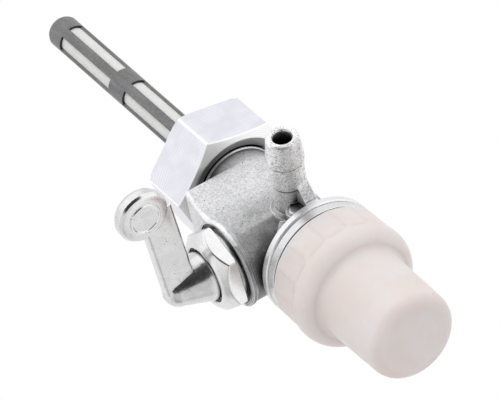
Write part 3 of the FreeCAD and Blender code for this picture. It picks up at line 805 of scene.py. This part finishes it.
def light_room(scene):
    """A room that is white to the camera, lights the part evenly and has a dark spot to mirror."""
    studio = scene.fuel_tap_studio
    right, up, back = CAMERA_RIGHT, CAMERA_UP, CAMERA_BACK
    world = bpy.data.worlds.new("white_room")
    scene.world = world
    world.use_nodes = True
    tree = world.node_tree
    tree.nodes.clear()
    way = Wire(tree, tree.nodes.new("ShaderNodeTexCoord").outputs["Generated"])
    rays = {socket.name: Wire(tree, socket) for socket in tree.nodes.new("ShaderNodeLightPath").outputs}
    seen = rays["Is Camera Ray"].most(rays["Is Transmission Ray"])
    shine = rays["Is Glossy Ray"]

    behind = way.along(back).ease(0.15, -0.4)
    above = way.along(up).ease(0.1, 0.9)
    left = way.along(-right).ease(0.1, 0.95)
    beside = way.along(right).ease(0.2, 0.95)
    under = (0 - way.axes()[2]).ease(0.55, 0.7)
    dark_spot = way.along((back + up * 0.27 - right * 0.18).normalized()).ease(0.72, 0.84)
    mirrored = studio.room + above * 0.95 + left * 0.65 + beside * 0.55 + under * 0.28
    mirrored = (mirrored * (1 - behind) + behind).least(1.3) * (1 - dark_spot * 0.93)
    below = way.along(-up).ease(0.1, 0.9)
    spread = studio.fill + above * 0.12 + left * 0.04 - below * 0.1
    strength = shine * mirrored + (1 - shine) * spread
    strength = (1 - seen) * strength + seen
    light = seen.node("ShaderNodeBackground", None, {"Color": (1, 1, 1, 1), "Strength": strength})
    out = tree.nodes.new("ShaderNodeOutputWorld")
    tree.links.new(light.socket, out.inputs["Surface"])


def lay_floor():
    """A pale floor far below, which metal does not mirror."""
    half, drop = 4.0, -3.2
    mesh = bpy.data.meshes.new("floor")
    mesh.from_pydata(
        [(-half, -half, drop), (half, -half, drop), (half, half, drop), (-half, half, drop)], [],
        [(0, 1, 2, 3)])
    pale = finish(
        "pale_floor", lambda place: {"Base Color": place.noise(0.6, 2.0).mix((0.86,) * 3, (0.9,) * 3)},
        Roughness=0.9)
    floor = add_piece("floor", mesh, pale)
    floor.visible_glossy = False


def hang_lamps(scene):
    """Three soft round lamps, which metal does not mirror."""
    power = scene.fuel_tap_studio.key
    right, up, back = CAMERA_RIGHT, CAMERA_UP, CAMERA_BACK
    distance = 0.9
    for name, way, share, size in (
            ("key_lamp", up * 0.9 + back * 0.7 - right * 0.2, 1.0, 0.9),
            ("side_lamp", -right * 0.9 + back * 0.5 + up * 0.1, 0.3, 0.7),
            ("back_lamp", right * 0.7 - back * 0.6 + up * 0.4, 0.25, 0.7)):
        lamp = bpy.data.lights.new(name, "AREA")
        lamp.shape = "DISK"
        lamp.size = size
        lamp.energy = power * share
        holder = bpy.data.objects.new(name, lamp)
        scene.collection.objects.link(holder)
        holder.visible_glossy = False
        holder.location = way.normalized() * distance
        holder.rotation_mode = "QUATERNION"
        holder.rotation_quaternion = way.normalized().to_track_quat("Z", "Y")


# Pieces


class FUELTAP_OT_casting(bpy.types.Operator):
    """Dress the zinc casting and its pressed plug"""

    bl_idname = "fuel_tap.casting"
    bl_label = "Casting"

    def execute(self, context):
        material = cast_zinc()
        carried_over("body", "housing", "cast_zinc", material, 24.0)
        carried_over("passage_plug", "housing", "cast_zinc", material)
        return {"FINISHED"}


class FUELTAP_OT_union_nut(bpy.types.Operator):
    """Dress the union nut"""

    bl_idname = "fuel_tap.union_nut"
    bl_label = "Union nut"

    def execute(self, context):
        sizes = context.scene.fuel_tap_sizes
        pitch = sizes.nut_thread_pitch
        bore, lip, lip_edge, top_mouth = 9.45, 8.85, 0.1, 10.5
        lip_top, thread_top, chamfer = NUT_LOW + 2.4, NUT_HIGH - 1.1, NUT_HIGH - 0.5
        outline = (
            (NUT_MOUTH, NUT_LOW, 0.1), (NUT_FACE, NUT_LOW, 0.07), (NUT_BLANK, NUT_CONE_TOP, 0.12),
            (NUT_BLANK, chamfer, 1.2), (NUT_BLANK - 0.8, NUT_HIGH, 0.5), (top_mouth, NUT_HIGH, 0.3),
            (bore, thread_top, pitch / MM / 12), (bore, lip_top, 0.3), (lip, lip_top, 0.4),
            (lip, NUT_CONE_TOP, 0.1), (lip + lip_edge, NUT_CONE_TOP - 0.15, 0.4))
        flat = sizes.nut_flats / 2
        piece = turned_piece(
            "union_nut_piece", outline, milled_aluminium(flat), **{
                "Sides": 6, "Steps on a side": 26, "Turn": math.radians(NUT_TURN),
                "Flat": flat, "Softness": 0.3 * MM, "Thread radius": bore * MM,
                "Thread low": lip_top * MM, "Thread high": thread_top * MM,
                "Thread depth": sizes.nut_thread_depth, "Thread pitch": pitch})
        seat(piece, "union_nut", "tank_nut", slot="nut_aluminium")
        return {"FINISHED"}


class FUELTAP_OT_strainer(bpy.types.Operator):
    """Dress the strainer's cage, its gauze and the standpipe"""

    bl_idname = "fuel_tap.strainer"
    bl_label = "Strainer"

    def execute(self, context):
        carried_over("strainer_cage", "housing", "cage_plastic", cage_plastic())
        carried_over("strainer_gauze", "housing", "gauze", woven_gauze())
        carried_over(
            "standpipe", "housing", "pipe_brass",
            plain_finish("drawn_brass", (0.5, 0.36, 0.15), (0.72, 0.56, 0.28), 0.6 * MM, 0.3, 1.0))
        return {"FINISHED"}


class FUELTAP_OT_lever(bpy.types.Operator):
    """Dress the lever"""

    bl_idname = "fuel_tap.lever"
    bl_label = "Lever"

    def execute(self, context):
        tint = tuple(context.scene.fuel_tap_finishes.plate)
        carried_over("lever", "lever", "lever_plate", bright_plate("plated_casting", tint, 0.9), 24.0)
        return {"FINISHED"}


class FUELTAP_OT_gland_nut(bpy.types.Operator):
    """Dress the gland nut"""

    bl_idname = "fuel_tap.gland_nut"
    bl_label = "Gland nut"

    def execute(self, context):
        tint = tuple(context.scene.fuel_tap_finishes.plate)
        back = -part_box("gland_nut")[1][1] / MM
        face = -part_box("gland_nut")[0][1] / MM
        stem, shank, collar, blank, mouth = 4.25, 6.55, 7.7, 9.338, 5.75
        seat_y, hexagon, recess = back + 3.15, face - 4.0, face - 1.5
        chamfer, edge = 0.35, 0.3
        turn = math.radians(-52.3)
        outline = (
            (stem, back, 0.6), (shank, back, 0.8), (shank, seat_y, 0.5), (collar, seat_y, 0.3),
            (collar, hexagon, 0.4), (blank - chamfer, hexagon, 0.1), (blank, hexagon + chamfer, 0.3),
            (blank, face - 2.4, 0.1), (7.15, face - edge, 0.15), (6.7, face, 0.3),
            (mouth + edge, face, 0.2), (mouth, face - edge, 0.4), (mouth, recess, 0.5),
            (stem, recess, 1.5))
        valve_z = sum(corner[2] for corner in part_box("gland_nut")) / 2
        piece = turned_piece(
            "gland_nut_piece", outline, bright_plate("plated_brass", faded(tint, 1.08), 0.12, 0.15),
            placed=Matrix.Translation((0.0, 0.0, valve_z)) @ Matrix.Rotation(math.pi / 2, 4, "X"), **{
                "Sides": 6, "Steps on a side": 24, "Turn": turn,
                "Flat": context.scene.fuel_tap_sizes.gland_flats / 2, "Softness": 0.25 * MM})
        seat(piece, "housing", "gland_nut", slot="gland_plate")
        return {"FINISHED"}


class FUELTAP_OT_bowl(bpy.types.Operator):
    """Dress the sediment bowl"""

    bl_idname = "fuel_tap.bowl"
    bl_label = "Sediment bowl"

    def execute(self, context):
        sizes = context.scene.fuel_tap_sizes
        pitch = sizes.bowl_thread_pitch
        low, top = BOWL_LOW, BOWL_TOP
        rim, recess, bore, chamber, nose = 13.05, 12.1, 10.4, 7.9, 9.55
        curve, arc, steps = 3.4, 78.0, 9
        collar_low = top - 8.2
        shoulder = []
        for step in range(steps, -1, -1):
            turn = math.radians(arc * step / steps)
            shoulder.append((rim - curve * (1 - math.cos(turn)), collar_low - curve * math.sin(turn), 0.3))
        foot = shoulder[0][1]
        dished_end = (
            (0.0, low + 0.3, 1.0), (5.1, low + 0.22, 0.5), (6.5, low + 0.06, 0.4), (7.3, low, 0.3),
            (8.1, low + 0.18, 0.3), (8.65, low + 0.55, 0.3), (9.1, low + 1.2, 0.3), (9.3, low + 2.1, 0.5))
        fillet = (
            (nose, foot - 1.6, 0.3), (nose + 0.1, foot - 0.85, 0.2), (nose + 0.35, foot - 0.35, 0.2))
        collar = (
            (rim, collar_low, 0.15), (rim, top - 0.7, 0.2), (rim - 0.75, top, 0.3), (recess, top, 0.7),
            (recess, BOWL_THREAD_HIGH, 0.6))
        inside = (
            (bore, BOWL_THREAD_HIGH, pitch / MM / 12), (bore, BOWL_THREAD_LOW, 0.8),
            (chamber + 0.9, BOWL_THREAD_LOW, 0.6), (chamber, top - 7.9, 4.0), (chamber, low + 3.6, 0.8),
            (chamber - 1.6, low + 2.0, 2.0), (0.0, low + 2.0, 1.0))
        outline = dished_end + fillet + tuple(shoulder[:-1]) + collar + inside
        piece = turned_piece(
            "bowl_piece", outline, moulded_nylon(sizes.bowl_sides), rounding=0.25, closed=False, **{
                "Sides": sizes.bowl_sides, "Steps on a side": 12, "Turn": math.radians(BOWL_TURN),
                "Flat": sizes.bowl_flat, "Lean": sizes.bowl_lean, "Top": top * MM,
                "Softness": 0.14 * MM, "Flat end": BOWL_FLAT_END * MM, "Run-out": 0.7 * MM,
                "Thread radius": bore * MM, "Thread low": BOWL_THREAD_LOW * MM,
                "Thread high": BOWL_THREAD_HIGH * MM, "Thread depth": sizes.bowl_thread_depth,
                "Thread pitch": pitch})
        seat(piece, "bowl", "bowl", slot="bowl_nylon")
        return {"FINISHED"}


class FUELTAP_OT_skirt_thread(bpy.types.Operator):
    """Put the thread on the casting's skirt, where the bowl screws on"""

    bl_idname = "fuel_tap.skirt_thread"
    bl_label = "Skirt thread"

    def execute(self, context):
        sizes = context.scene.fuel_tap_sizes
        pitch = sizes.bowl_thread_pitch
        high = BOWL_TOP - 1.2
        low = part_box("bowl_seal")[0][2] / MM - 4.2
        core, skin, clearance = 10.0, 10.37, 0.06 * MM
        outline = ((core, low, 0.5), (skin, low, pitch / MM / 12), (skin, high, 0.5), (core, high, 1.0))
        piece = turned_piece(
            "skirt_thread", outline, bpy.data.materials["cast_zinc"], rounding=0.02, **{
                "Sides": 6, "Steps on a side": 20, "Flat": 20.0 * MM, "Softness": 0.001 * MM,
                "Thread radius": skin * MM, "Thread low": low * MM, "Thread high": high * MM,
                "Thread depth": sizes.bowl_thread_depth - clearance, "Thread pitch": pitch})
        seat(piece, "housing", slot="cast_zinc")
        return {"FINISHED"}


class FUELTAP_OT_inner_pieces(bpy.types.Operator):
    """Dress the seals, the spring washer and the filter"""

    bl_idname = "fuel_tap.inner_pieces"
    bl_label = "Seals and filter"

    def execute(self, context):
        rubber = plain_finish(
            "black_rubber", (0.012, 0.012, 0.012), (0.035, 0.035, 0.036), 0.5 * MM, 0.6)
        fibre = plain_finish("red_fibre", (0.2, 0.075, 0.05), (0.34, 0.15, 0.1), 0.7 * MM, 0.75)
        spring = plain_finish("spring_steel", (0.3, 0.3, 0.31), (0.5, 0.5, 0.5), 0.9 * MM, 0.32, 1.0)
        natural = plain_finish("natural_plastic", (0.68, 0.65, 0.58), (0.8, 0.78, 0.72), 1.5 * MM, 0.4)
        gauze = bpy.data.materials["woven_gauze"]
        for node, body, slot, material in (
                ("tank_seal", "housing", "fibre", fibre),
                ("valve_gasket", "housing", "black_rubber", rubber),
                ("stem_seal", "lever", "black_rubber", rubber),
                ("bowl_seal", "bowl_ring", "black_rubber", rubber),
                ("wave_washer", "housing", "spring_steel", spring),
                ("filter_frame", "housing", "frame_plastic", natural),
                ("filter_gauze", "housing", "gauze", gauze)):
            carried_over(node, body, slot, material)
        return {"FINISHED"}


class FUELTAP_OT_stage(bpy.types.Operator):
    """Set up the floor, the white room, the lamps and the camera"""

    bl_idname = "fuel_tap.stage"
    bl_label = "Stage"

    def execute(self, context):
        scene = context.scene
        place_camera(scene)
        light_room(scene)
        lay_floor()
        hang_lamps(scene)
        scene.view_settings.view_transform = "Standard"
        return {"FINISHED"}


class FUELTAP_PT_panel(bpy.types.Panel):
    """Lists the tap's sizes, colours and pieces"""

    bl_idname = "FUELTAP_PT_panel"
    bl_label = "Fuel Tap"
    bl_space_type = "VIEW_3D"
    bl_region_type = "UI"
    bl_category = "Fuel Tap"

    def draw(self, context):
        scene = context.scene
        for group in (scene.fuel_tap_sizes, scene.fuel_tap_finishes, scene.fuel_tap_studio):
            box = self.layout.box()
            for key in group.bl_rna.properties.keys():
                if key not in ("rna_type", "name"):
                    box.prop(group, key)
        for operator in OPERATORS:
            self.layout.operator(operator.bl_idname)


GROUPS = {
    "fuel_tap_sizes": FuelTapSizes,
    "fuel_tap_finishes": FuelTapFinishes,
    "fuel_tap_studio": FuelTapStudio,
}
OPERATORS = (
    FUELTAP_OT_stage, FUELTAP_OT_casting, FUELTAP_OT_union_nut, FUELTAP_OT_strainer, FUELTAP_OT_lever,
    FUELTAP_OT_gland_nut, FUELTAP_OT_bowl, FUELTAP_OT_skirt_thread, FUELTAP_OT_inner_pieces)


def register():
    for group in GROUPS.values():
        bpy.utils.register_class(group)
    for key, group in GROUPS.items():
        setattr(bpy.types.Scene, key, bpy.props.PointerProperty(type=group))
    for operator in OPERATORS:
        bpy.utils.register_class(operator)
    bpy.utils.register_class(FUELTAP_PT_panel)


def unregister():
    bpy.utils.unregister_class(FUELTAP_PT_panel)
    for operator in reversed(OPERATORS):
        bpy.utils.unregister_class(operator)
    for key, group in GROUPS.items():
        delattr(bpy.types.Scene, key)
        bpy.utils.unregister_class(group)


def main():
    """Registers the add-on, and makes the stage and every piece."""
    register()
    for operator in OPERATORS:
        category, name = operator.bl_idname.split(".")
        getattr(getattr(bpy.ops, category), name)()


if __name__ == "__main__":
    main()
